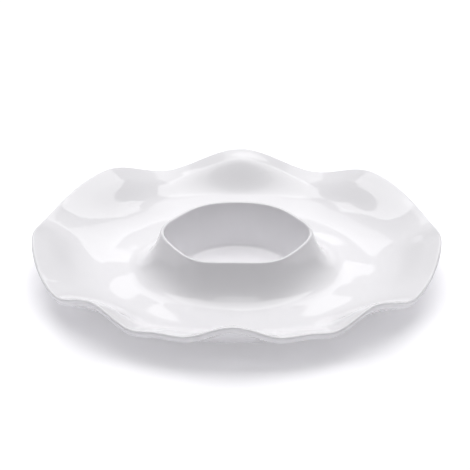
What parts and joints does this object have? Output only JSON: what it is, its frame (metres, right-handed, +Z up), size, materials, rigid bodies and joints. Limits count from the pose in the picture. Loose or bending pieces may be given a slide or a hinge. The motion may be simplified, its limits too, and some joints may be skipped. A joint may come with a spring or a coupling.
{
  "type": "chip and dip server",
  "caption": "Round one-piece serving tray with a wavy upturned rim and a dip bowl rising from the middle of its floor, standing on a foot ring.",
  "frame": {"origin": "centre of the server on the plane of the table, under the dip bowl", "axes": "+Z up along the server's axis; +Y towards the petal at the back, +X to the right"},
  "size_m": [0.394, 0.394, 0.053],
  "materials": {
    "white_melamine": "gloss"
  },
  "bodies": {
    "root": {"ruffled_rim": "white_melamine", "tray_floor": "white_melamine", "dip_bowl_wall": "white_melamine", "dip_bowl_floor": "white_melamine", "foot_ring": "white_melamine"}
  },
  "joints": []
}
